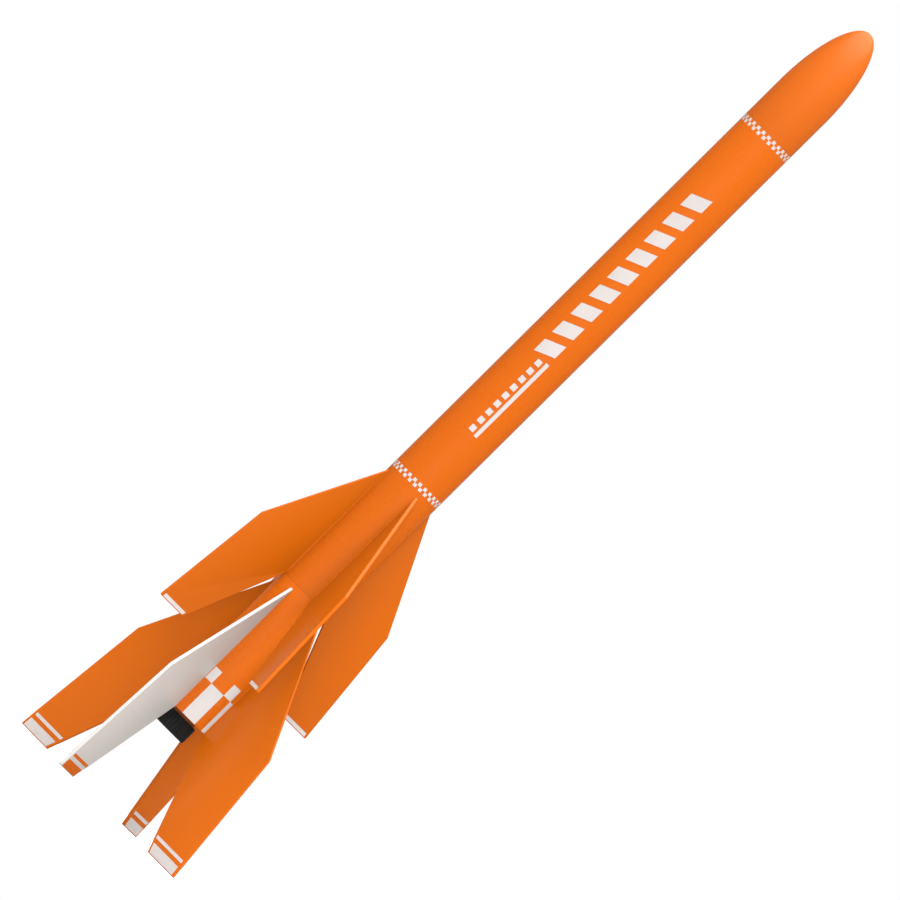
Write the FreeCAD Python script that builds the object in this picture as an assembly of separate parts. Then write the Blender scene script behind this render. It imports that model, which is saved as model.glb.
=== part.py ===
"""Two-stage model rocket, standing on the tips of its booster fins.

Units are millimetres. +Z points to the nose. The origin is on the rocket's axis,
at the height of the booster fin tips. Angles round the axis are in degrees from -Y
towards +X, so a piece at angle 0 faces -Y.
"""
import FreeCAD
import Part
import math
import os

V = FreeCAD.Vector
ORIGIN = V(0, 0, 0)
UP = V(0, 0, 1)

# ---------------------------------------------------------------- driving dimensions

# body tubes and everything that is glued or slides inside them
TUBE_R = 20.8
TUBE_WALL = 0.55
BORE_R = TUBE_R - TUBE_WALL
GLUE_GAP = 0.05
SLIP_R = BORE_R - GLUE_GAP
JOINT_GAP = 0.12

BOOSTER_AFT_Z = 80.9
STAGE_Z = 193.9
NOSE_JOINT_Z = 624.0
COUPLER_LENGTH = 50.0
COUPLER_WALL = 0.75

# nose: straight for a while, then half an ellipse
NOSE_CURVE_Z = 656.0
NOSE_TIP_Z = 718.7
NOSE_WALL = 1.6
NOSE_TIP_WALL = 2.2
SHOULDER_LENGTH = 32.0
PLUG_THICKNESS = 2.0
EYELET_HOLE_R = 3.2
EYELET_RIM = 2.6
EYELET_THICKNESS = 2.2

# fins, as (distance from the axis, height) going round the outline from the front of the root
FIN_THICKNESS = 2.4
FIN_EDGE_RADIUS = 0.5
ROOT_ALLOWANCE = 1.0
FIN_COUNT = 4
BOOSTER_FIN = [(TUBE_R, 190.0), (68.5, 99.2), (79.4, 0.0), (53.1, 0.0), (TUBE_R, BOOSTER_AFT_Z)]
SUSTAINER_FIN = [(TUBE_R, 290.5), (62.1, 211.4), (71.5, 125.7), (49.9, 125.7), (TUBE_R, STAGE_Z + 0.5)]
BOOSTER_FIN_ANGLE = 0.0
SUSTAINER_FIN_ANGLE = 45.0

# motors and their mounts
MOTOR_R = 8.95
MOTOR_LENGTH = 70.0
MOTOR_BORE_R = 6.3
MOUNT_R = 9.35
MOUNT_BORE_R = 9.015
RING_THICKNESS = 3.2
THRUST_RING_LENGTH = 6.0
THRUST_RING_WALL = 1.3
BOOSTER_MOTOR_Z = 68.3
SUSTAINER_MOTOR_Z = 190.0
BOOSTER_MOUNT_AFT_Z = 68.8
BOOSTER_MOUNT_TOP_Z = 186.0
SUSTAINER_MOUNT_AFT_Z = 194.5
SUSTAINER_MOUNT_TOP_Z = 270.0
BOOSTER_REAR_RING_Z = 84.0
BOOSTER_FRONT_RING_Z = 160.0
SUSTAINER_REAR_RING_Z = 221.0
SUSTAINER_FRONT_RING_Z = 264.0

# motor contents, as heights above the motor's aft end
NOZZLE_RECESS = 1.5
NOZZLE_TOP = 12.0
THROAT_R = 1.7
THROAT_TOP = 8.0
NOZZLE_EXIT_R = 4.4
SUSTAINER_GRAIN_TOP = 44.0
BOOSTER_GRAIN_TOP = 52.0
DELAY_TOP = 55.0
CHARGE_TOP = 61.0
MOTOR_CAP_TOP = 64.0

# screw-on motor retainer
CAP_R = 12.7
CAP_AFT_Z = 66.0
CAP_TOP_Z = 78.6
CAP_LIP = 2.2
CAP_OPENING_R = 7.8
CAP_EDGE = 0.6
CAP_GROOVES = 30
CAP_GROOVE_R = 0.45
NECK_R = 10.7
THREAD_ROOT_R = 10.15
THREAD_CREST_R = 10.7
CAP_THREAD_ROOT_R = 11.05
CAP_THREAD_CREST_R = 10.4
THREAD_PITCH = 3.0
THREAD_BASE_WIDTH = 1.2
THREAD_TOP_WIDTH = 0.8
THREAD_START_Z = 70.4
THREAD_HEIGHT = 6.0
THREAD_BITE = 0.3

# spring hook that holds the sustainer's motor
HOOK_ANGLE = 0.0
HOOK_WIDTH = 3.2
HOOK_THICKNESS = 0.8
HOOK_INNER_R = 9.6
HOOK_TAIL_Z = 186.9
HOOK_LIP_Z = 188.5
HOOK_LIP_R = 7.0
HOOK_TAB_Z = 260.4
HOOK_TAB_R = 7.4
HOOK_NOTCH_DEPTH = 2.8
HOOK_CLEARANCE = 0.5
SUSTAINER_THRUST_Z = 262.0

# launch lugs for a 3.2 mm rod, both on one line along the tubes
LUG_BORE_R = 2.0
LUG_R = 2.4
LUG_LENGTH = 45.0
LUG_ANGLE = 202.5
LUG_AXIS_R = TUBE_R + LUG_R + GLUE_GAP
BOOSTER_LUG_Z = 120.0
SUSTAINER_LUG_Z = 330.0

# recovery gear packed in the upper tube
CHUTE_R = 14.0
CHUTE_Z = 462.0
CHUTE_TOP_Z = 572.0
CHUTE_END_RADIUS = 5.0
WADDING_R = 18.5
WADDING_Z = 425.0
WADDING_TOP_Z = 455.0
WADDING_END_RADIUS = 8.0
ANCHOR_Z = 545.0
ANCHOR_HEIGHT = 30.0
ANCHOR_THICKNESS = 1.0
ANCHOR_SPAN = 50.0
ANCHOR_ANGLE = 180.0

# decals: thin white or orange film on the paint
DECAL_LIFT = 0.01
DECAL_FILM = 0.08
BAND_SQUARES = 54
BAND_ROW_HEIGHT = 2.5
UPPER_BAND_Z = 618.9
UPPER_BAND_ANGLE = 6.3
LOWER_BAND_Z = 294.4
LOWER_BAND_ANGLE = 8.0
TAIL_SPLIT_Z = 108.2
TAIL_TOP_Z = 118.3
TAIL_COLUMNS = [3.5, 20.7, 52.8, 74.0, 86.5]
BAR_COUNT = 9
BAR_FIRST_Z = 414.0
BAR_STEP = 17.0
BAR_LENGTH = 10.6
BAR_SLANT = 6.0
BAR_START_ANGLE = 2.0
BAR_END_ANGLE = 41.0
TICK_COUNT = 9
TICK_FIRST_Z = 347.0
TICK_STEP = 7.6
TICK_LENGTH = 4.6
TICK_START_ANGLE = 20.0
TICK_END_ANGLE = 31.0
LINE_Z = 346.0
LINE_TOP_Z = 414.0
LINE_START_ANGLE = 36.0
LINE_END_ANGLE = 43.6
FIN_BLOCK = (0.6, 7.4)
FIN_STRIPE = (10.4, 12.7)
SUSTAINER_FIN_STRIPE = (0.6, 3.2)
FIN_DECAL_OUTER_MARGIN = 1.8
FIN_DECAL_INNER_MARGIN = 1.5


# ---------------------------------------------------------------- basic shapes

def write(name, shape):
    """Write one node."""
    shape.exportStep(f"parts/{name}.step")


def at_angle(shape, angle):
    """The shape, built facing -Y, turned round the rocket's axis."""
    turned = shape.copy()
    turned.rotate(ORIGIN, UP, angle)
    return turned


def rod(radius, z_low, z_high):
    return Part.makeCylinder(radius, z_high - z_low, V(0, 0, z_low), UP)


def tube(outer, inner, z_low, z_high):
    return rod(outer, z_low, z_high).cut(rod(inner, z_low, z_high))


def box(x_low, x_high, y_low, y_high, z_low, z_high):
    return Part.makeBox(x_high - x_low, y_high - y_low, z_high - z_low, V(x_low, y_low, z_low))


def lines(points):
    ends = points[1:]
    return [Part.LineSegment(a, b).toShape() for a, b in zip(points, ends)]


def flat_face(corners):
    return Part.Face(Part.Wire(lines(corners + corners[:1])))


def turn_profile(points, sweep=360):
    """Section of (distance from the axis, height) points, turned round the axis from -Y."""
    corners = [V(0, -radius, z) for radius, z in points]
    return flat_face(corners).revolve(ORIGIN, UP, sweep)


def round_ends(shape, radius):
    """Round the end edges of a rod."""
    rims = [edge for edge in shape.Edges if isinstance(edge.Curve, Part.Circle)]
    return shape.makeFillet(radius, rims)


# ---------------------------------------------------------------- fins

def edge_height(end_a, end_b, radius):
    """Height of a fin's straight edge at a distance from the axis."""
    slope = (end_b[1] - end_a[1]) / (end_b[0] - end_a[0])
    return end_b[1] + slope * (radius - end_b[0])


def edge_radius(end_a, end_b, z):
    """Distance of a fin's straight edge from the axis at a height."""
    slope = (end_b[0] - end_a[0]) / (end_b[1] - end_a[1])
    return end_b[0] + slope * (z - end_b[1])


def make_fin(outline):
    """Flat fin facing -Y, with rounded edges and a root that follows the tube."""
    half = FIN_THICKNESS / 2
    front, corner, tip_outer, tip_inner, aft = outline
    root_r = TUBE_R - ROOT_ALLOWANCE
    sunk_front = (root_r, edge_height(corner, front, root_r))
    sunk_aft = (root_r, edge_height(tip_inner, aft, root_r))
    sunk = [sunk_front, corner, tip_outer, tip_inner, sunk_aft]
    corners = [V(-half, -radius, z) for radius, z in sunk]
    plate = flat_face(corners).extrude(V(FIN_THICKNESS, 0, 0))
    free = []
    for edge in plate.Edges:
        middle = edge.CenterOfMass
        on_face = abs(abs(middle.x) - half) < 1e-6
        on_root = abs(middle.y + root_r) < 1e-6
        if on_face and not on_root:
            free.append(edge)
    rounded = plate.makeFillet(FIN_EDGE_RADIUS, free)
    return rounded.cut(rod(TUBE_R + GLUE_GAP, -1, NOSE_TIP_Z))


def write_fins(name, outline, first_angle):
    fin = make_fin(outline)
    for index in range(FIN_COUNT):
        angle = first_angle + index * 360 / FIN_COUNT
        write(f"{name}_{index + 1}", at_angle(fin, angle))


# ---------------------------------------------------------------- decals

def wrap(z_low, z_high, start_angle, end_angle):
    """Rectangle of film round the tube."""
    inner = TUBE_R + DECAL_LIFT
    outer = inner + DECAL_FILM
    section = [(inner, z_low), (outer, z_low), (outer, z_high), (inner, z_high)]
    return at_angle(turn_profile(section, end_angle - start_angle), start_angle)


def slanted_wrap(z_low, length, slant, start_angle, end_angle):
    """Parallelogram of film: its end side stands `slant` nearer the nose than its start side."""
    blank = wrap(z_low - slant, z_low + length + 2 * slant, start_angle, end_angle)
    middle = (start_angle + end_angle) / 2
    half = TUBE_R * math.sin(math.radians((end_angle - start_angle) / 2))
    corners = [
        V(-2 * half, 0, z_low - slant / 2),
        V(2 * half, 0, z_low + slant * 3 / 2),
        V(2 * half, 0, z_low + slant * 3 / 2 + length),
        V(-2 * half, 0, z_low - slant / 2 + length),
    ]
    cutter = flat_face(corners).extrude(V(0, -2 * TUBE_R, 0))
    return blank.common(at_angle(cutter, middle))


def check_band(z_low, first_angle):
    """The white squares of a two-row checked band, one of the lower ones starting at an angle."""
    step = 360 / BAND_SQUARES
    squares = []
    for row in range(2):
        low = z_low + row * BAND_ROW_HEIGHT
        for index in range(row, BAND_SQUARES, 2):
            start = first_angle + index * step
            squares.append(wrap(low, low + BAND_ROW_HEIGHT, start, start + step))
    return squares


def tail_checks():
    """The white checks round the booster's tail, repeated between each pair of fins."""
    patches = []
    for quadrant in range(FIN_COUNT):
        turn = quadrant * 360 / FIN_COUNT
        for column in range(4):
            start = TAIL_COLUMNS[column] + turn
            end = TAIL_COLUMNS[column + 1] + turn
            if column % 2 == 0:
                patches.append(wrap(TAIL_SPLIT_Z, TAIL_TOP_Z, start, end))
            else:
                patches.append(wrap(BOOSTER_AFT_Z, TAIL_SPLIT_Z, start, end))
    return patches


def side_motif():
    """Slanted bars, a row of ticks and a straight line, along the upper tube."""
    bars = []
    for index in range(BAR_COUNT):
        low = BAR_FIRST_Z + index * BAR_STEP
        bars.append(slanted_wrap(low, BAR_LENGTH, BAR_SLANT, BAR_START_ANGLE, BAR_END_ANGLE))
    for index in range(TICK_COUNT):
        low = TICK_FIRST_Z + index * TICK_STEP
        bars.append(wrap(low, low + TICK_LENGTH, TICK_START_ANGLE, TICK_END_ANGLE))
    bars.append(wrap(LINE_Z, LINE_TOP_Z, LINE_START_ANGLE, LINE_END_ANGLE))
    return bars


def fin_stripes(outline, spans, angle):
    """Film across a fin's tip, on both faces, at heights above the tip."""
    corner, tip_outer, tip_inner, aft = outline[1:]
    half = FIN_THICKNESS / 2
    stripes = []
    for low_offset, high_offset in spans:
        outer_side = []
        inner_side = []
        for z in (tip_outer[1] + low_offset, tip_outer[1] + high_offset):
            outer_side.append((edge_radius(corner, tip_outer, z) - FIN_DECAL_OUTER_MARGIN, z))
            inner_side.append((edge_radius(aft, tip_inner, z) + FIN_DECAL_INNER_MARGIN, z))
        section = outer_side + inner_side[::-1]
        for side in (1, -1):
            corners = [V(side * (half + DECAL_LIFT), -radius, z) for radius, z in section]
            film = flat_face(corners).extrude(V(side * DECAL_FILM, 0, 0))
            stripes.append(at_angle(film, angle))
    return stripes


def write_decals():
    booster_spans = [FIN_BLOCK, FIN_STRIPE]
    booster_white = tail_checks()
    for index in range(1, FIN_COUNT):
        booster_white += fin_stripes(BOOSTER_FIN, booster_spans, index * 90)
    sustainer_white = side_motif()
    sustainer_white += check_band(UPPER_BAND_Z, UPPER_BAND_ANGLE)
    sustainer_white += check_band(LOWER_BAND_Z, LOWER_BAND_ANGLE)
    for index in range(FIN_COUNT):
        angle = SUSTAINER_FIN_ANGLE + index * 90
        sustainer_white += fin_stripes(SUSTAINER_FIN, [SUSTAINER_FIN_STRIPE], angle)
    write("booster_decals", Part.makeCompound(booster_white))
    write("white_fin_decals", Part.makeCompound(fin_stripes(BOOSTER_FIN, booster_spans, 0)))
    write("sustainer_decals", Part.makeCompound(sustainer_white))


# ---------------------------------------------------------------- airframe

def write_airframe():
    write("booster_tube", tube(TUBE_R, BORE_R, BOOSTER_AFT_Z, STAGE_Z))
    write("sustainer_tube", tube(TUBE_R, BORE_R, STAGE_Z + JOINT_GAP, NOSE_JOINT_Z))
    half = COUPLER_LENGTH / 2
    write("stage_coupler", tube(SLIP_R, SLIP_R - COUPLER_WALL, STAGE_Z - half, STAGE_Z + half))
    write_fins("booster_fin", BOOSTER_FIN, BOOSTER_FIN_ANGLE)
    write_fins("sustainer_fin", SUSTAINER_FIN, SUSTAINER_FIN_ANGLE)
    for name, low in (("booster_launch_lug", BOOSTER_LUG_Z), ("sustainer_launch_lug", SUSTAINER_LUG_Z)):
        lug = tube(LUG_R, LUG_BORE_R, low, low + LUG_LENGTH)
        lug.translate(V(0, -LUG_AXIS_R, 0))
        write(name, at_angle(lug, LUG_ANGLE))


# ---------------------------------------------------------------- nose

def half_ellipse_edge(half_width, height):
    """Arc from the nose tip down to where the sides are straight."""
    centre = V(0, 0, NOSE_CURVE_Z)
    ellipse = Part.Ellipse(V(0, 0, NOSE_CURVE_Z + height), V(0, -half_width, NOSE_CURVE_Z), centre)
    return Part.Arc(ellipse, 0, math.pi / 2).toShape()


def write_nose():
    inner_r = SLIP_R - NOSE_WALL
    outer_z = NOSE_TIP_Z - NOSE_CURVE_Z
    base_z = NOSE_JOINT_Z + JOINT_GAP
    shoulder_z = NOSE_JOINT_Z - SHOULDER_LENGTH
    outer_arc = half_ellipse_edge(TUBE_R, outer_z)
    inner_arc = half_ellipse_edge(inner_r, outer_z - NOSE_TIP_WALL)
    skin = [
        V(0, -TUBE_R, NOSE_CURVE_Z),
        V(0, -TUBE_R, base_z),
        V(0, -SLIP_R, base_z),
        V(0, -SLIP_R, shoulder_z),
        V(0, -inner_r, shoulder_z),
        V(0, -inner_r, NOSE_CURVE_Z),
    ]
    axis_line = lines([V(0, 0, NOSE_TIP_Z - NOSE_TIP_WALL), V(0, 0, NOSE_TIP_Z)])
    section = Part.Wire(Part.__sortEdges__([outer_arc, inner_arc] + lines(skin) + axis_line))
    write("nose_cone", Part.Face(section).revolve(ORIGIN, UP, 360))

    disc = rod(inner_r - GLUE_GAP, shoulder_z, shoulder_z + PLUG_THICKNESS)
    ring_r = EYELET_HOLE_R + EYELET_RIM
    half = EYELET_THICKNESS / 2
    eye_z = shoulder_z - EYELET_HOLE_R - 1
    eye = Part.makeCylinder(ring_r, EYELET_THICKNESS, V(-half, 0, eye_z), V(1, 0, 0))
    neck = box(-half, half, -ring_r, ring_r, eye_z, shoulder_z)
    below_disc = box(-ring_r, ring_r, -ring_r, ring_r, eye_z - ring_r, shoulder_z)
    hole = Part.makeCylinder(EYELET_HOLE_R, EYELET_THICKNESS, V(-half, 0, eye_z), V(1, 0, 0))
    eyelet = eye.fuse(neck).common(below_disc).cut(hole)
    write("nose_base_plug", disc.fuse(eyelet).removeSplitter())


# ---------------------------------------------------------------- motor mounts

def centering_ring(low):
    return tube(SLIP_R, MOUNT_R + GLUE_GAP, low, low + RING_THICKNESS)


def thrust_ring(low):
    outer = MOUNT_BORE_R - GLUE_GAP
    return tube(outer, outer - THRUST_RING_WALL, low, low + THRUST_RING_LENGTH)


def write_booster_mount():
    write("booster_motor_tube", tube(MOUNT_R, MOUNT_BORE_R, BOOSTER_MOUNT_AFT_Z, BOOSTER_MOUNT_TOP_Z))
    write("booster_rear_ring", centering_ring(BOOSTER_REAR_RING_Z))
    write("booster_front_ring", centering_ring(BOOSTER_FRONT_RING_Z))
    write("booster_thrust_ring", thrust_ring(BOOSTER_MOTOR_Z + MOTOR_LENGTH + JOINT_GAP))


def write_sustainer_mount():
    slot_half = HOOK_WIDTH / 2 + HOOK_CLEARANCE
    outer = -(HOOK_INNER_R + HOOK_NOTCH_DEPTH)
    slit_low = HOOK_TAB_Z - HOOK_CLEARANCE
    slit_high = HOOK_TAB_Z + HOOK_THICKNESS + HOOK_CLEARANCE
    slit = box(-slot_half, slot_half, outer, -HOOK_TAB_R, slit_low, slit_high)
    mount = tube(MOUNT_R, MOUNT_BORE_R, SUSTAINER_MOUNT_AFT_Z, SUSTAINER_MOUNT_TOP_Z)
    write("sustainer_motor_tube", mount.cut(at_angle(slit, HOOK_ANGLE)))
    notch_top = SUSTAINER_REAR_RING_Z + RING_THICKNESS
    notch = box(-slot_half, slot_half, outer, 0, SUSTAINER_REAR_RING_Z, notch_top)
    write("sustainer_rear_ring", centering_ring(SUSTAINER_REAR_RING_Z).cut(at_angle(notch, HOOK_ANGLE)))
    write("sustainer_front_ring", centering_ring(SUSTAINER_FRONT_RING_Z))
    write("sustainer_thrust_ring", thrust_ring(SUSTAINER_THRUST_Z))


def write_hook():
    """Flat spring: a strip along the mount, a tab through its slit and a lip under the motor."""
    half = HOOK_WIDTH / 2
    outer_r = HOOK_INNER_R + HOOK_THICKNESS
    strip = box(-half, half, -outer_r, -HOOK_INNER_R, HOOK_LIP_Z, HOOK_TAB_Z + HOOK_THICKNESS)
    tab = box(-half, half, -outer_r, -HOOK_TAB_R, HOOK_TAB_Z, HOOK_TAB_Z + HOOK_THICKNESS)
    lip = box(-half, half, -outer_r, -HOOK_LIP_R, HOOK_LIP_Z, HOOK_LIP_Z + HOOK_THICKNESS)
    tail_inner = HOOK_LIP_R + HOOK_THICKNESS
    tail = box(-half, half, -tail_inner, -HOOK_LIP_R, HOOK_TAIL_Z, HOOK_LIP_Z + HOOK_THICKNESS)
    hook = strip.fuse([tab, lip, tail]).removeSplitter()
    write("engine_hook", at_angle(hook, HOOK_ANGLE))


# ---------------------------------------------------------------- motors

def nozzle(aft_z):
    """Clay plug with a throat that opens into a cone."""
    low = aft_z + NOZZLE_RECESS
    outer = MOTOR_BORE_R - GLUE_GAP
    return turn_profile([
        (NOZZLE_EXIT_R, low),
        (outer, low),
        (outer, aft_z + NOZZLE_TOP),
        (THROAT_R, aft_z + NOZZLE_TOP),
        (THROAT_R, aft_z + THROAT_TOP),
    ])


def charge(aft_z, low, high):
    """Pressed powder that fills the casing between two heights above the motor's aft end."""
    return rod(MOTOR_BORE_R - GLUE_GAP, aft_z + low + GLUE_GAP, aft_z + high)


def write_motor(stage, aft_z, grain_top):
    write(f"{stage}_motor_casing", tube(MOTOR_R, MOTOR_BORE_R, aft_z, aft_z + MOTOR_LENGTH))
    write(f"{stage}_motor_nozzle", nozzle(aft_z))
    write(f"{stage}_propellant", charge(aft_z, NOZZLE_TOP, grain_top))


def write_motors():
    write_motor("booster", BOOSTER_MOTOR_Z, BOOSTER_GRAIN_TOP)
    write_motor("sustainer", SUSTAINER_MOTOR_Z, SUSTAINER_GRAIN_TOP)
    write("delay_grain", charge(SUSTAINER_MOTOR_Z, SUSTAINER_GRAIN_TOP, DELAY_TOP))
    write("ejection_charge", charge(SUSTAINER_MOTOR_Z, DELAY_TOP, CHARGE_TOP))
    write("motor_clay_cap", charge(SUSTAINER_MOTOR_Z, CHARGE_TOP, MOTOR_CAP_TOP))


# ---------------------------------------------------------------- screw-on retainer

def thread_ridge(root_r, crest_r, start_z):
    """One right-hand ridge, its foot sunk a little into the wall that it stands on."""
    helix = Part.makeHelix(THREAD_PITCH, THREAD_HEIGHT, root_r)
    helix.translate(V(0, 0, start_z))
    outward = 1 if crest_r > root_r else -1
    foot = root_r - outward * THREAD_BITE
    base = THREAD_BASE_WIDTH / 2
    top = THREAD_TOP_WIDTH / 2
    corners = [
        V(foot, 0, start_z - base),
        V(crest_r, 0, start_z - top),
        V(crest_r, 0, start_z + top),
        V(foot, 0, start_z + base),
    ]
    profile = flat_face(corners).OuterWire
    return Part.Wire(helix).makePipeShell([profile], True, True)


def retainer_base():
    bore = MOUNT_R + GLUE_GAP
    sleeve = tube(THREAD_ROOT_R, bore, BOOSTER_MOUNT_AFT_Z, BOOSTER_REAR_RING_Z)
    collar = tube(NECK_R, bore, CAP_TOP_Z + 0.3, BOOSTER_REAR_RING_Z)
    ridge = thread_ridge(THREAD_ROOT_R, THREAD_CREST_R, THREAD_START_Z)
    return sleeve.fuse([collar, ridge])


def retainer_cap():
    shell = rod(CAP_R, CAP_AFT_Z, CAP_TOP_Z)
    shell = shell.makeChamfer(CAP_EDGE, [e for e in shell.Edges if isinstance(e.Curve, Part.Circle)])
    for index in range(CAP_GROOVES):
        groove = rod(CAP_GROOVE_R, CAP_AFT_Z + 1.5, CAP_TOP_Z + 1)
        groove.translate(V(0, -CAP_R, 0))
        shell = shell.cut(at_angle(groove, index * 360 / CAP_GROOVES))
    shell = shell.cut(rod(CAP_OPENING_R, CAP_AFT_Z - 1, CAP_TOP_Z))
    shell = shell.cut(rod(CAP_THREAD_ROOT_R, CAP_AFT_Z + CAP_LIP, CAP_TOP_Z + 1))
    ridge = thread_ridge(CAP_THREAD_ROOT_R, CAP_THREAD_CREST_R, THREAD_START_Z + THREAD_PITCH / 2)
    return shell.fuse(ridge)


# ---------------------------------------------------------------- recovery gear

def write_recovery():
    write("parachute", round_ends(rod(CHUTE_R, CHUTE_Z, CHUTE_TOP_Z), CHUTE_END_RADIUS))
    write("recovery_wadding", round_ends(rod(WADDING_R, WADDING_Z, WADDING_TOP_Z), WADDING_END_RADIUS))
    outer = SLIP_R
    inner = outer - ANCHOR_THICKNESS
    top = ANCHOR_Z + ANCHOR_HEIGHT
    section = [(inner, ANCHOR_Z), (outer, ANCHOR_Z), (outer, top), (inner, top)]
    write("shock_cord_mount", at_angle(turn_profile(section, ANCHOR_SPAN), ANCHOR_ANGLE - ANCHOR_SPAN / 2))


def main():
    os.makedirs("parts", exist_ok=True)
    write_airframe()
    write_nose()
    write_booster_mount()
    write_sustainer_mount()
    write_hook()
    write_motors()
    write("retainer_base", retainer_base())
    write("retainer_cap", retainer_cap())
    write_recovery()
    write_decals()


main()
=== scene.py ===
"""Looks for a two-stage model rocket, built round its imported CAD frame.

Everything is in metres in the row frame: +Z to the nose, the booster fins on -Y (the white
one), +X, +Y and -X, the upper fins between them. Angles round the axis are in degrees from
-Y towards +X.
"""
import math
import random

import bmesh
import bpy
from mathutils import Matrix, Vector, noise


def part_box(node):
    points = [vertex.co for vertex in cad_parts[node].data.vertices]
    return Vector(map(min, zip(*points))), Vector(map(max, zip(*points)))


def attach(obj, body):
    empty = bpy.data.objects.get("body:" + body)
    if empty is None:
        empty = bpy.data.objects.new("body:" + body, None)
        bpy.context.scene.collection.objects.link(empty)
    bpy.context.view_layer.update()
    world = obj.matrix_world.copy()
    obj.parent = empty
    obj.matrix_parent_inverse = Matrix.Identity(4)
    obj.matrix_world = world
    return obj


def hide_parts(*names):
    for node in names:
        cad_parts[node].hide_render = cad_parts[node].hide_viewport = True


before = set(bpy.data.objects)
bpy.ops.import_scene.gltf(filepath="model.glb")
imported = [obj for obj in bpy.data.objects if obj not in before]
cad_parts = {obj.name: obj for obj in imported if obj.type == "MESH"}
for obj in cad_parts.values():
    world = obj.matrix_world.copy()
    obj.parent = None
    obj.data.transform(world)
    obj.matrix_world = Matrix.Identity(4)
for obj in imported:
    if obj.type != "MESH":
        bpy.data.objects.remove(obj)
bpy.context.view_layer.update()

MM = 0.001

# ---------------------------------------------------------------- sizes


def low_z(node):
    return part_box(node)[0].z


def high_z(node):
    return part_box(node)[1].z


def half_width(node):
    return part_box(node)[1].x


# where the nose's step stands clear of the tube
JOINT_GAP = 0.12 * MM

# from the frame
TUBE_R = half_width("booster_tube")
COUPLER_R = half_width("stage_coupler")
BOOSTER_AFT_Z = low_z("booster_tube")
STAGE_Z = high_z("booster_tube")
UPPER_AFT_Z = low_z("sustainer_tube")
NOSE_JOINT_Z = high_z("sustainer_tube")
NOSE_BASE_Z = NOSE_JOINT_Z + JOINT_GAP
NOSE_TIP_Z = high_z("nose_cone")
SHOULDER_Z = low_z("nose_cone")
BOOSTER_SPAN = half_width("booster_fin_2")
CHUTE_LOW, CHUTE_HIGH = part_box("parachute")
WADDING_LOW, WADDING_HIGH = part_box("recovery_wadding")
ANCHOR_LOW, ANCHOR_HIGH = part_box("shock_cord_mount")

# tubes and nose
TUBE_WALL = 0.55 * MM
COUPLER_WALL = 0.75 * MM
RIM = 0.07 * MM
TUBE_SEGMENTS = 192
NOSE_CURVE_HEIGHT = 62.7 * MM
NOSE_CURVE_Z = NOSE_TIP_Z - NOSE_CURVE_HEIGHT
NOSE_WALL = 1.6 * MM
NOSE_TIP_WALL = 2.2 * MM
NOSE_STEPS = 44
SHARP_CORNER = 1e-7

# fins: sheet with rounded edges and corners, its root let into the tube
FIN_COUNT = 4
UPPER_FIN_ANGLE = 45
FIN_THICKNESS = 2.4 * MM
FIN_EDGE = 0.35 * MM
FIN_EDGE_STEPS = 4
FIN_CORNER = 0.9 * MM
ROOT_CORNER = 1e-6
ROOT_SUNK = 0.45 * MM

# a face counts as a fin's edge if it turns this far off the sheet's sides and doesn't look down; these
# edges get a lighter paint, a painted highlight, while edges that look down into the shade keep the
# faces' paint
EDGE_TILT = 0.6
UNDERSIDE_TILT = -0.2

# outlines, as (distance from the axis, height) from the front of the root round to its back
BOOSTER_FIN = [
    (TUBE_R, 190.0 * MM),
    (68.5 * MM, 99.2 * MM),
    (BOOSTER_SPAN, 0.0),
    (53.1 * MM, 0.0),
    (TUBE_R, BOOSTER_AFT_Z),
]
UPPER_FIN = [
    (TUBE_R, 290.5 * MM),
    (62.1 * MM, 211.4 * MM),
    (71.5 * MM, 125.7 * MM),
    (49.9 * MM, 125.7 * MM),
    (TUBE_R, 194.4 * MM),
]

# launch lugs
LUG_ANGLE = 202.5
LUG_R = 2.4 * MM
LUG_BORE_R = 2.0 * MM
LUG_AXIS_R = TUBE_R + LUG_R + 0.05 * MM
LUG_RIM = 0.08 * MM
LUG_SEGMENTS = 64

# beads of glue along the fins and the lugs, and how far each sinks into what it joins
BEAD_STEPS = 6
TUBE_BITE = 0.2 * MM
FILLET_R = 0.6 * MM
FILLET_TAPER = 3.5 * MM
FILLET_END_GAP = 0.4 * MM
FILLET_STATIONS = 40
FIN_BITE = 0.1 * MM
LUG_BEAD_R = 0.9 * MM
LUG_BEAD_TAPER = 2 * MM
LUG_BEAD_END_GAP = 0.8 * MM
LUG_BEAD_STATIONS = 24
LUG_BITE = 0.15 * MM

# film on the paint: two checked bands, the tail's checks, the side marking and the fins' stripes
FILM_LIFT = 0.01 * MM
FILM = 0.06 * MM
BAND_SQUARES = 54
BAND_ROW = 2.5 * MM
UPPER_BAND_Z = 618.9 * MM
UPPER_BAND_ANGLE = 6.3
LOWER_BAND_Z = 294.4 * MM
LOWER_BAND_ANGLE = 8.0
TAIL_SPLIT_Z = 108.2 * MM
TAIL_TOP_Z = 118.3 * MM
TAIL_MARGIN = 0.2 * MM
TAIL_COLUMNS = [3.5, 20.7, 52.8, 74.0, 86.5]
BAR_COUNT = 9
BAR_FIRST_Z = 414.0 * MM
BAR_STEP = 17.0 * MM
BAR_LENGTH = 10.6 * MM
BAR_SLANT = 6.0 * MM
BAR_ANGLES = (2.0, 41.0)
TICK_COUNT = 9
TICK_FIRST_Z = 347.0 * MM
TICK_STEP = 7.6 * MM
TICK_LENGTH = 4.6 * MM
TICK_ANGLES = (20.0, 31.0)
LINE_SPAN = (346.0 * MM, 414.0 * MM)
LINE_ANGLES = (36.0, 43.6)
BOOSTER_STRIPES = [(0.6 * MM, 7.4 * MM), (10.4 * MM, 12.7 * MM)]
UPPER_STRIPES = [(0.6 * MM, 3.2 * MM)]
STRIPE_OUTER_MARGIN = 1.8 * MM
STRIPE_INNER_MARGIN = 1.5 * MM

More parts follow.
